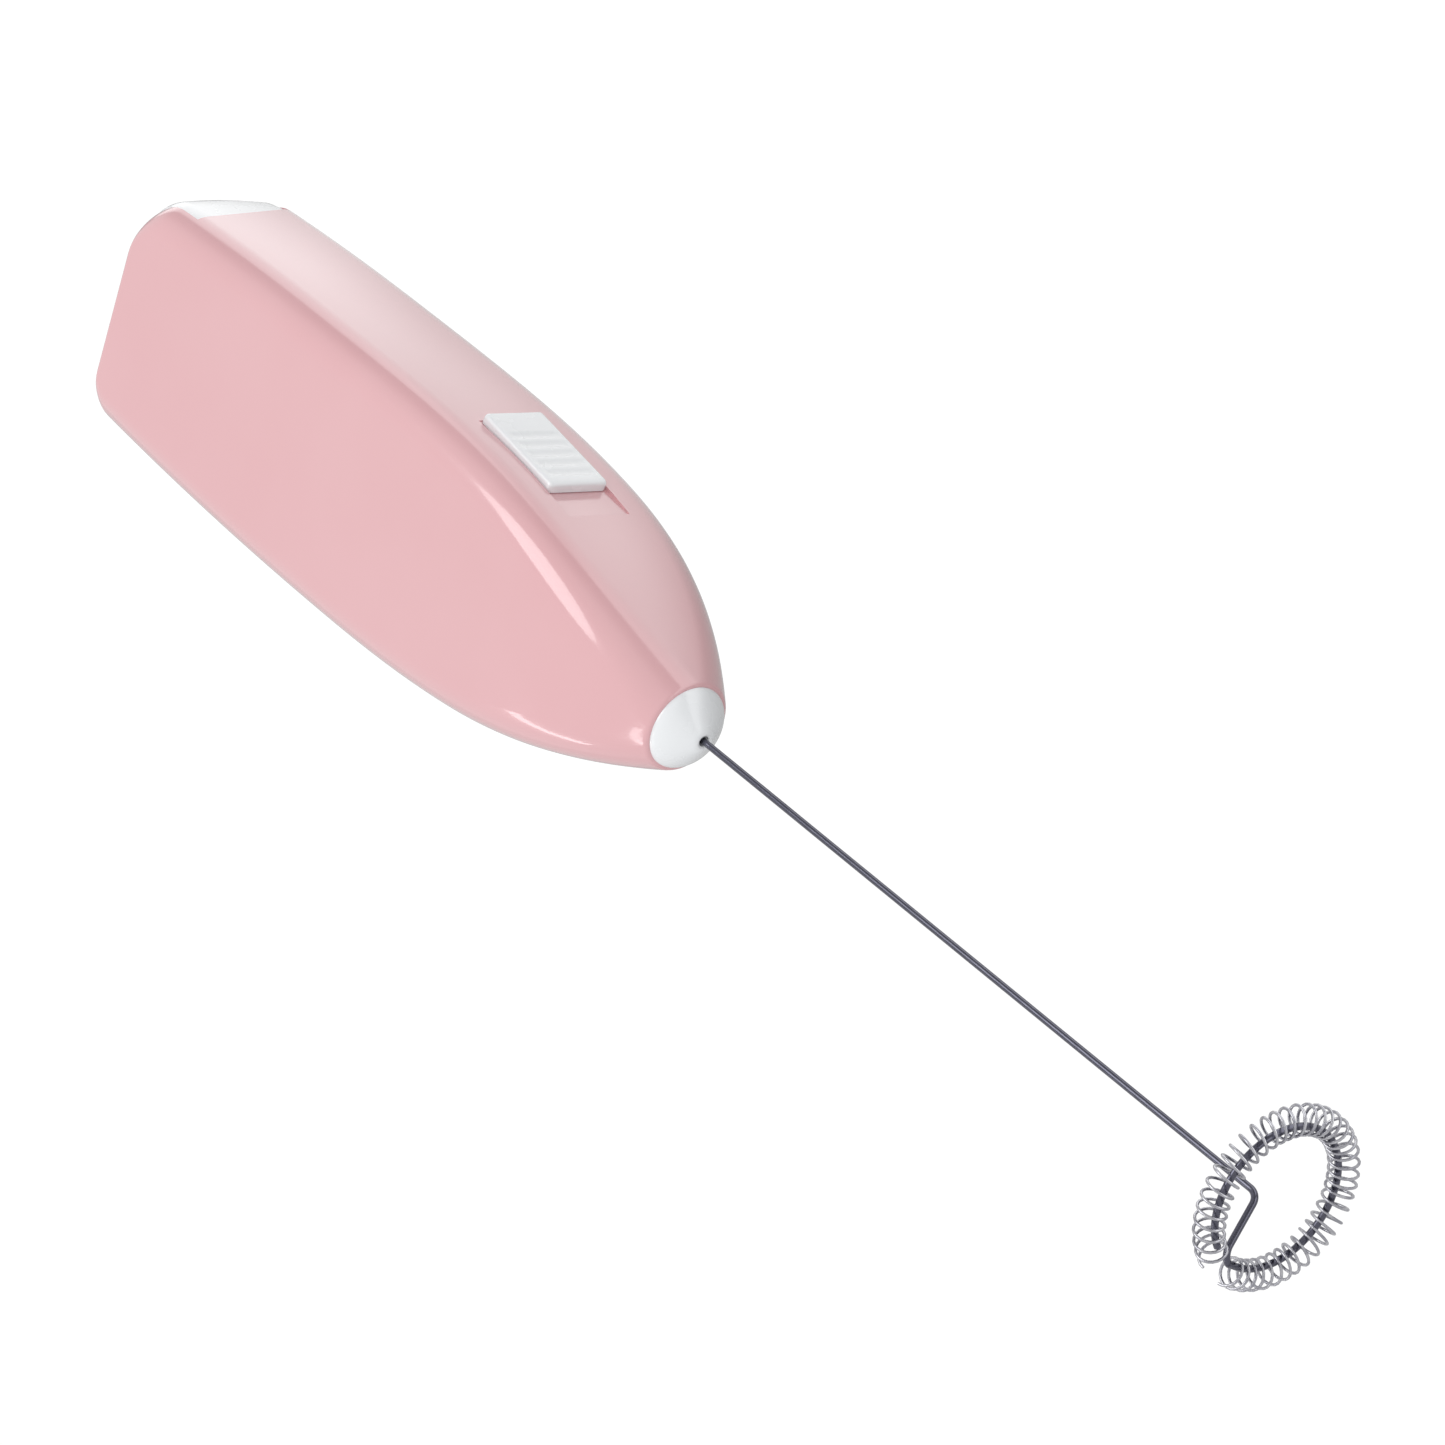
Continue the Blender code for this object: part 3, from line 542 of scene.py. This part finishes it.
def section(u, inset=0.0, rounded=True):
    """The handle's outline at u, or one that lies this far inside it."""
    return rounded_box(
        u,
        reach_up(u, rounded) - inset,
        reach_down(u, rounded) - inset,
        half_thickness(u, rounded) - inset,
        corner_radius(u) - inset,
    )


def quarter_turn(count):
    """The angles that divide a quarter of a turn evenly, both ends included."""
    return [math.pi / 2 * i / count for i in range(count + 1)]


def notch_block(name, shrink, finish):
    """The notch's shape, through both narrow sides; its front edge slants and is deepest towards +Z."""
    side, low, high = NOTCH_HALF - shrink, NOTCH_LOW - shrink, NOTCH_HIGH - shrink
    outline = [(-MM, -side), (low, -side), (high, side), (-MM, side)]
    wide = 2 * REACH_UP
    return lofted(name, [[at(u, y, z) for u, z in outline] for y in (-wide, wide)], finish)


def make_sleeve(finish):
    """The sleeve: hollow, with a notch at the rear of each narrow side, and the switch's recess and slot."""
    taper_start, taper_length, crowding = 80 * MM, 33 * MM, 1.35
    body_steps, front_steps = 44, 56
    rear = [REAR_CORNER_UP * (1 - math.cos(angle)) for angle in quarter_turn(22)[:-1]]
    stretch = taper_start - REAR_CORNER_UP
    body = [REAR_CORNER_UP + stretch * (i / body_steps) for i in range(body_steps)]
    front = []
    for i in range(front_steps):
        ahead = (taper_length - FRONT_EDGE) * (1 - i / front_steps) ** crowding
        front.append(SHELL_LENGTH - FRONT_EDGE - ahead)
    loops = [section(u) for u in rear + body + front]
    for angle in quarter_turn(6):
        u = SHELL_LENGTH - FRONT_EDGE * (1 - math.sin(angle))
        loops.append(section(u, FRONT_EDGE * (1 - math.cos(angle))))
    sleeve = lofted("handle_sleeve", loops, finish)
    # Where the hollow's loops lie along the handle, and then those of the round mouth, in millimetres.
    inside = [0.0, 16.0, 33.0, 44.0, 55.0, 63.0, 70.0, 76.0, 82.0, 88.0, 93.5, 98.5, 103.0, 107.0]
    mouth = [110.6, 115.0]
    cavity = [section(u * MM, WALL, rounded=False) for u in inside]
    for point in cavity[0]:
        point.x -= MM
    cavity += [rounded_box(u * MM, NOSE_HOLE, NOSE_HOLE, NOSE_HOLE, NOSE_HOLE) for u in mouth]
    combine(sleeve, lofted("cavity", cavity, finish), "DIFFERENCE")
    combine(sleeve, notch_block("notch", 0.0, finish), "DIFFERENCE")
    reach, outside, inwards = KNOB_HALF_WIDTH + KNOB_GAP, 5 * MM, -4 * WALL
    recess = knob_block("recess", (RECESS_REAR, RECESS_LENGTH), (RECESS_FLOOR, outside), reach, finish)
    combine(sleeve, recess, "DIFFERENCE")
    slot = knob_block("slot", (SLOT_START, SLOT_END), (inwards, 0.0), SLOT_HALF, finish)
    return combine(sleeve, slot, "DIFFERENCE")


# Switch.


def knob_frame():
    """The middle of the top's rear edge, the direction of the slide, and the direction out of the wall."""
    tangent = Vector((math.cos(KNOB_SLOPE), math.sin(KNOB_SLOPE), 0.0))
    return at(KNOB_START, KNOB_TOP), tangent, Vector((-tangent.y, tangent.x, 0.0))


def knob_block(name, along, across, half_width, finish):
    """A block in the knob's frame: from and to along the slide, and from and to out of the wall."""
    origin, tangent, normal = knob_frame()
    corners = ((along[0], across[0]), (along[1], across[0]), (along[1], across[1]), (along[0], across[1]))
    loops = []
    for z in (-half_width, half_width):
        loops.append([origin + a * tangent + b * normal + Vector((0, 0, z)) for a, b in corners])
    return lofted(name, loops, finish)


def knob_profile(rounding):
    """The top seen from the side, each point as (along, how far the rounded edge draws it down, groove).

    The first is a length, the second a share of the edge's radius, the third a share of a groove's depth.
    """
    start, end, per_ridge = 4.2 * MM, KNOB_LENGTH - 1.3 * MM, 12
    groove_width, groove_power = 0.72, 0.8
    pitch = (end - start) / RIDGES
    stops = [(share * KNOB_EDGE, down, 0.0) for share, down in rounding]
    for i in range(RIDGES * per_ridge + 1):
        phase = (i % per_ridge) / per_ridge
        off = phase - 0.5
        cut = 0.0
        if abs(off) < groove_width / 2:
            cut = max(0.0, math.cos(off * math.pi / groove_width)) ** groove_power
        stops.append((start + pitch * i / per_ridge, 0.0, cut))
    stops += [(KNOB_LENGTH - share * KNOB_EDGE, down, 0.0) for share, down in reversed(rounding)]
    return stops


def make_knob(finish):
    """The knob: a rounded top with grooves across it, a stem through the slot, a clip and a cam inside."""
    origin, tangent, normal = knob_frame()
    under = RECESS_FLOOR + 0.1 * MM
    rounding = [(1 - math.cos(angle), 1 - math.sin(angle)) for angle in quarter_turn(6)]
    # From a side inwards: the place in edge radii, how far it is drawn down, and the grooves' share of depth.
    sides = [(share, down, 0.0) for share, down in rounding] + [(1.6, 0.0, 0.55), (2.4, 0.0, 1.0)]
    sides = [(-1, *side) for side in sides] + [(1, *side) for side in reversed(sides)]
    loops = []
    for sign, share, down, grooved in sides:
        z = sign * (KNOB_HALF_WIDTH - share * KNOB_EDGE)
        trim = 1 - 2 * down * KNOB_EDGE / KNOB_LENGTH
        top = []
        for along, drawn, cut in knob_profile(rounding):
            lowered = KNOB_EDGE * (1 - (1 - down) * (1 - drawn)) + KNOB_GROOVE * cut * grooved
            top.append((KNOB_LENGTH / 2 + (along - KNOB_LENGTH / 2) * trim, -lowered))
        outline = top + [(top[-1][0], under), (top[0][0], under)]
        loops.append([origin + a * tangent + b * normal + Vector((0, 0, z)) for a, b in outline])
    knob = lofted("switch_cap", loops, finish, smooth_angle=SMOOTH_ANGLE_CAP)
    clip_top, clip_under, cam_under, play = -3.05 * MM, -3.95 * MM, -5.6 * MM, 0.2 * MM
    stem_start, stem_end = SLOT_START + play, SLOT_END - KNOB_TRAVEL - play
    for name, along, across, half_width in (
        ("stem", (stem_start, stem_end), (clip_under, under + play), SLOT_HALF - play),
        ("clip", (1.5 * MM, 13.8 * MM), (clip_under, clip_top), 3.8 * MM),
        ("cam", (4.5 * MM, 7.0 * MM), (cam_under, clip_top), 2.0 * MM),
    ):
        combine(knob, knob_block(name, along, across, half_width, finish), "UNION", SMOOTH_ANGLE_CAP)
    return knob


# Nose.


def make_nose(finish):
    """The cap: a low dome whose edge covers the sleeve's hole, with a small rounded hole for the wire."""
    steps, reach, fall, power = 26, 0.93, 0.8, 1.55
    front, tip = SHELL_LENGTH + NOSE_STEP, SHELL_LENGTH + NOSE_PROUD
    inner_front, inner_radius = 110.0 * MM, 3.4 * MM
    # Each point of the profile: its place along the handle, and its radius.
    profile = [(NOSE_BACK, NOSE_FLANGE), (NOSE_SHOULDER, NOSE_FLANGE)]
    profile += [(NOSE_SHOULDER, NOSE_RADIUS), (front, NOSE_RADIUS)]
    for i in range(steps + 1):
        t = reach * i / steps
        profile.append((front + (NOSE_PROUD - NOSE_STEP) * t, DOME_RADIUS * (1 - fall * t**power)))
    profile += [(tip - 0.04 * MM, 1.1 * MM), (tip - 0.06 * MM, 0.9 * MM)]
    profile += [(tip - 0.2 * MM, NOSE_BORE + 0.04 * MM), (tip - 0.6 * MM, NOSE_BORE)]
    profile += [(inner_front, NOSE_BORE), (inner_front, inner_radius), (NOSE_BACK, inner_radius)]
    loops = [circle(u, radius, 96) for u, radius in profile]
    return lofted("nose_dome", loops, finish, ring=True, smooth_angle=SMOOTH_ANGLE_CAP)


# Whisk.


def ring_point(radius, angle, ahead=0.0):
    """A point of the ring's plane, or one this far ahead of it. The ring leans and sits off the axis."""
    turn = Matrix.Rotation(RING_YAW, 3, "Z") @ Matrix.Rotation(RING_PITCH, 3, "Y")
    local = Vector((ahead, radius * math.cos(angle), radius * math.sin(angle)))
    return at(RING_U, RING_OFFSET_Y, RING_OFFSET_Z) + turn @ local


def corner_arc(before, corner, after, radius, steps=14):
    """Points of an arc of this radius that rounds the corner between two straight stretches."""
    back, on = (before - corner).normalized(), (after - corner).normalized()
    half = back.angle(on) / 2
    middle = corner + (back + on).normalized() * radius / math.sin(half)
    start = corner + back * radius / math.tan(half) - middle
    end = corner + on * radius / math.tan(half) - middle
    sweep = start.angle(end)
    points = []
    for i in range(steps + 1):
        first, second = math.sin(sweep * (1 - i / steps)), math.sin(sweep * i / steps)
        points.append(middle + (first * start + second * end) / math.sin(sweep))
    return points


def tube(name, points, radius, finish, sides):
    """A round wire along a line of points, with slightly rounded ends."""
    frames, side = [], None
    for i, point in enumerate(points):
        ahead = (points[min(i + 1, len(points) - 1)] - points[max(i - 1, 0)]).normalized()
        if side is None:
            side = ahead.orthogonal().normalized()
        side = (side - side.dot(ahead) * ahead).normalized()
        frames.append((point, ahead, side, ahead.cross(side), radius))
    first, last, proud, narrow = frames[0], frames[-1], 0.3 * radius, 0.6 * radius
    tip = (first[0] - first[1] * proud, *first[1:4], narrow)
    end = (last[0] + last[1] * proud, *last[1:4], narrow)
    loops = []
    for point, _, across, over, wide in [tip, *frames, end]:
        turns = [2 * math.pi * i / sides for i in range(sides)]
        loops.append([point + wide * (math.cos(a) * across + math.sin(a) * over) for a in turns])
    return lofted(name, loops, finish, smooth_angle=SMOOTH_ANGLE_WIRE)


def make_wire(finish):
    """One wire: the stick, the bend, the arm and the ring that the coil is threaded on."""
    bend, turn, count, sweep = 1.8 * MM, 1.5 * MM, 120, math.radians(337)
    lead = math.asin(turn / CARRIER_RADIUS)
    tail, knee, heel = at(98.7 * MM), at(RING_U - KNEE_BACK), ring_point(CARRIER_RADIUS, ARM_ANGLE)
    points = [tail] + corner_arc(tail, knee, heel, bend)
    points += corner_arc(knee, heel, ring_point(CARRIER_RADIUS / math.cos(lead), ARM_ANGLE + lead), turn)
    for i in range(1, count + 1):
        points.append(ring_point(CARRIER_RADIUS, ARM_ANGLE + lead + sweep * i / count))
    radius = STICK_RADIUS - 0.07 * MM
    return tube("whisk_wire", points, radius, finish, sides=20)


def make_coil(finish):
    """The fine coil round the ring; its turns are a little uneven, as in a hand-fitted one."""
    per_turn, start, sweep = 20, ARM_ANGLE + math.radians(13), math.radians(340)
    count, loop, wire = COIL_TURNS * per_turn, COIL_RADIUS - 0.03 * MM, COIL_WIRE_RADIUS - 0.02 * MM
    most_uneven, waves = math.radians(0.9), 61.0
    points = []
    for i in range(count + 1):
        turn = 2 * math.pi * i / per_turn
        uneven = most_uneven * math.sin(i / count * waves) * math.sin(math.pi * i / count)
        radius = RING_RADIUS + loop * math.cos(turn)
        points.append(ring_point(radius, start + sweep * i / count + uneven, loop * math.sin(turn)))
    return tube("whisk_spring", points, wire, finish, sides=8)


# Battery drawer.


def make_drawer(finish):
    """The drawer: an end with a tab in each notch, a wall and a tray with two troughs."""
    up = reach_up(0.0, rounded=False) - WALL - DRAWER_CLEARANCE
    down = reach_down(0.0, rounded=False) - WALL - DRAWER_CLEARANCE
    half = HALF_THICKNESS - WALL - DRAWER_CLEARANCE
    inset, radius = 0.1 * MM, CORNER - WALL - 0.1 * MM
    body_edge, tab_edge, wall_end, tab_end = 3.1 * MM, 2.6 * MM, 6.0 * MM, 9 * MM
    crowding = [1 - math.cos(angle) for angle in quarter_turn(14)]
    body, tabs = [], []
    for u in [inset + body_edge * share for share in crowding] + [DRAWER_LENGTH]:
        reaches = min(up, reach_up(u) - inset), min(down, reach_down(u) - inset)
        body.append(rounded_box(u, *reaches, half, radius))
    drawer = lofted("drawer_body", body, finish)
    for u in [inset + tab_edge * share for share in crowding] + [5 * MM, tab_end]:
        full = reach_up(u, rounded=False) - end_round(u, END_CORNER_UP) - inset / 4
        loop = rounded_box(u, full, reach_down(u) - inset / 4, half_thickness(u) - inset, END_CORNER)
        for point in loop:
            if point.y > AXIS_Y:
                away = min(1.0, abs(point.z - AXIS_Z) / NOTCH_HALF)
                point.y += END_CROWN * end_round(u, END_CORNER_UP) * (1 - away**2)
        tabs.append(loop)
    tabs = combine(lofted("tabs", tabs, finish), notch_block("trim", END_GAP, finish), "INTERSECT")
    combine(drawer, tabs, "UNION")
    wide, spare, past_end = 2 * REACH_UP, 0.05 * MM, 2 * DRAWER_LENGTH
    above = block("above", (wall_end, past_end), (-down - spare, up + spare), (TRAY_TOP, wide), finish)
    combine(drawer, above, "DIFFERENCE")
    pocket_end, pocket_half = 7.2 * MM, 5.1 * MM
    pocket_y = (CELL_MIDDLE_Y - CELL_PITCH / 2 - pocket_half, CELL_MIDDLE_Y + CELL_PITCH / 2 + pocket_half)
    pocket = block("pocket", (wall_end, pocket_end), pocket_y, (-pocket_half, wide), finish)
    combine(drawer, pocket, "DIFFERENCE")
    for side_sign in (-1, 1):
        y, reach = CELL_MIDDLE_Y + side_sign * CELL_PITCH / 2, CELL_RADIUS + 0.2 * MM
        loops = [circle(u, reach, 96, y) for u in (wall_end, past_end)]
        combine(drawer, lofted("trough", loops, finish), "DIFFERENCE")
    return drawer


# Studio.


def make_floor():
    """A white floor that glows evenly for the camera, so that the object seems to float on white.

    Diffuse rays see a weaker floor, and glossy rays see one that differs from place to place.
    """
    bm = bmesh.new()
    bmesh.ops.create_grid(bm, x_segments=1, y_segments=1, size=3.0)
    mesh = bpy.data.meshes.new("floor")
    bm.to_mesh(mesh)
    bm.free()
    finish, nodes = new_material("pale_floor", (0.0, 0.0, 0.0), roughness=0.9, Specular_IOR_Level=0.0)
    nodes.shader.inputs["Emission Color"].default_value = (1.0, 1.0, 1.0, 1.0)
    rays = nodes.add("ShaderNodeLightPath")
    place = position_of(nodes)
    split = nodes.add("ShaderNodeSeparateXYZ", {"Vector": place})
    x, y = split.outputs["X"], split.outputs["Y"]
    distance = nodes.add("ShaderNodeVectorMath", {0: place}, operation="LENGTH").outputs["Value"]
    side = soft_span(nodes, y, *FLOOR_SIDE_Y, GLOSS_FAR, GLOSS_SIDE)
    fade = soft_span(nodes, distance, *FLOOR_FADE, 1.0, FLOOR_FADE_TO)
    dim = soft_span(nodes, x, *FLOOR_DIM_X, 1.0, FLOOR_DIM_TO)
    lift = soft_span(nodes, x, *FLOOR_LIFT_X, 0.0, FLOOR_LIFT_BY)
    fade = maths(nodes, "MULTIPLY", fade, maths(nodes, "ADD", dim, lift))
    shine = maths(nodes, "MULTIPLY", side, fade)
    ahead = soft_span(nodes, x, *FLOOR_AHEAD_X, 0.0, GLOSS_AHEAD)
    back = soft_span(nodes, y, *FLOOR_BACK_Y)
    behind = even_span(nodes, back, 0.0, GLOSS_BACK)
    glossy = maths(nodes, "MAXIMUM", maths(nodes, "MAXIMUM", shine, ahead), behind)
    diffuse = even_span(nodes, back, FLOOR_BOUNCE, FLOOR_BOUNCE_BACK)
    light = mixed(nodes, rays.outputs["Is Glossy Ray"], diffuse, glossy)
    glow = mixed(nodes, rays.outputs["Is Camera Ray"], light, CAMERA_WHITE)
    nodes.put(nodes.shader.inputs["Emission Strength"], glow)
    floor = link("floor", mesh, finish)
    floor.location.z = -FLOOR_BELOW


def make_world():
    """An even soft sky, darker low down on the switch's side, and plain white where the camera sees it."""
    world = bpy.data.worlds.new("studio")
    world.use_nodes = True
    nodes = Nodes(world, "Background")
    nodes.shader.inputs["Color"].default_value = (1.0, 1.0, 1.0, 1.0)
    rays = nodes.add("ShaderNodeLightPath")
    way = nodes.add("ShaderNodeTexCoord").outputs["Generated"]
    split = nodes.add("ShaderNodeSeparateXYZ", {"Vector": way})
    low = soft_span(nodes, split.outputs["Z"], *SKY_LOW)
    sideways = soft_span(nodes, split.outputs["Y"], *SKY_SIDEWAYS)
    glossy = even_span(nodes, maths(nodes, "MULTIPLY", low, sideways), SKY_GLOSS, SKY_DARK)
    light = mixed(nodes, rays.outputs["Is Glossy Ray"], SKY, glossy)
    seen = mixed(nodes, rays.outputs["Is Camera Ray"], light, CAMERA_WHITE)
    nodes.put(nodes.shader.inputs["Strength"], seen)
    bpy.context.scene.world = world
    bpy.context.scene.view_settings.view_transform = "Standard"
    bpy.context.scene.view_settings.look = "None"


def add_soft_box(name, above, first, last, width, radiance, shape):
    """A soft box that shows only as a highlight in glossy surfaces.

    It reaches from the first direction to the last, 1 m from the point that it is above.
    """
    ends = [above + Vector(way).normalized() for way in (first, last)]
    middle, along = (ends[0] + ends[1]) / 2, ends[1] - ends[0]
    data = bpy.data.lights.new(name, "AREA")
    data.shape = shape
    data.size, data.size_y = along.length, width
    data.energy = radiance * math.pi * along.length * width
    light = bpy.data.objects.new(name, data)
    bpy.context.scene.collection.objects.link(light)
    back = (middle - above).normalized()
    across = back.cross(along).normalized()
    turn = Matrix((along.normalized(), across, along.normalized().cross(across))).transposed()
    light.matrix_world = Matrix.Translation(middle) @ turn.to_4x4()
    light.visible_camera = False
    light.visible_diffuse = False


def make_lights():
    """An oval soft box over the switch's side and two narrow ones on the other side."""
    near, far = at(90 * MM, 12 * MM, 10 * MM), at(101 * MM, -6.5 * MM, 9.9 * MM)
    for name, above, first, last, width, radiance, shape in (
        ("oval", near, (-0.53, 0.47, 0.70), (-0.02, 0.04, 1.0), 0.60, OVAL_LIGHT, "ELLIPSE"),
        ("strip_low", far, (-0.48, -0.47, 0.74), (-0.12, -0.92, 0.38), 0.06, STRIP_LIGHT, "RECTANGLE"),
        ("strip_nose", far, (0.06, -0.41, 0.91), (0.15, -0.84, 0.52), 0.045, STRIP_LIGHT, "RECTANGLE"),
    ):
        add_soft_box(name, above, first, last, width, radiance, shape)


def dress_cad(finishes):
    """Gives each CAD node its finish."""
    wanted = {
        "pink": ["outer_shell"],
        "white": ["switch_knob", "nose_cap", "battery_drawer"],
        "inner": ["motor_holder"],
        "nylon": ["motor_end_bell", "rear_thrust_washer", "front_thrust_washer", "shaft_coupling"],
        "ferrite": ["magnet_up", "magnet_down"],
        "stick": ["whisk_stick"],
        "coil": ["whisk_coil"],
        "steel": ["motor_can", "motor_shaft", "rear_bridge_plate", "rear_spring", "front_spring"],
        "core": ["armature_core"],
        "brass": ["rear_bearing", "front_bearing", "positive_blade", "negative_contact", "switch_contact"],
        "copper": ["brush_up", "brush_down", "terminal_up", "terminal_down", "commutator"],
        "winding": ["winding_1", "winding_2", "winding_3"],
        "cell": ["battery_up", "battery_down"],
    }
    for finish, names in wanted.items():
        for name in names:
            for slot in frame["nodes"][name].material_slots:
                slot.material = finishes[finish]


def main():
    finishes = make_materials()
    make_camera()
    make_floor()
    make_world()
    make_lights()
    dress_cad(finishes)
    for piece, body, node, slot in (
        (make_sleeve(finishes["pink"]), "handle", "outer_shell", "pink_shell"),
        (make_nose(finishes["white"]), "handle", "nose_cap", "white_plastic"),
        (make_knob(finishes["white"]), "switch", "switch_knob", "white_plastic"),
        (make_drawer(finishes["white"]), "battery_drawer_body", "battery_drawer", "white_plastic"),
        (make_wire(finishes["stick"]), "rotor_and_whisk", "whisk_stick", "bright_steel"),
        (make_coil(finishes["coil"]), "rotor_and_whisk", "whisk_coil", "bright_steel"),
    ):
        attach(piece, body)
        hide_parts(node)


main()
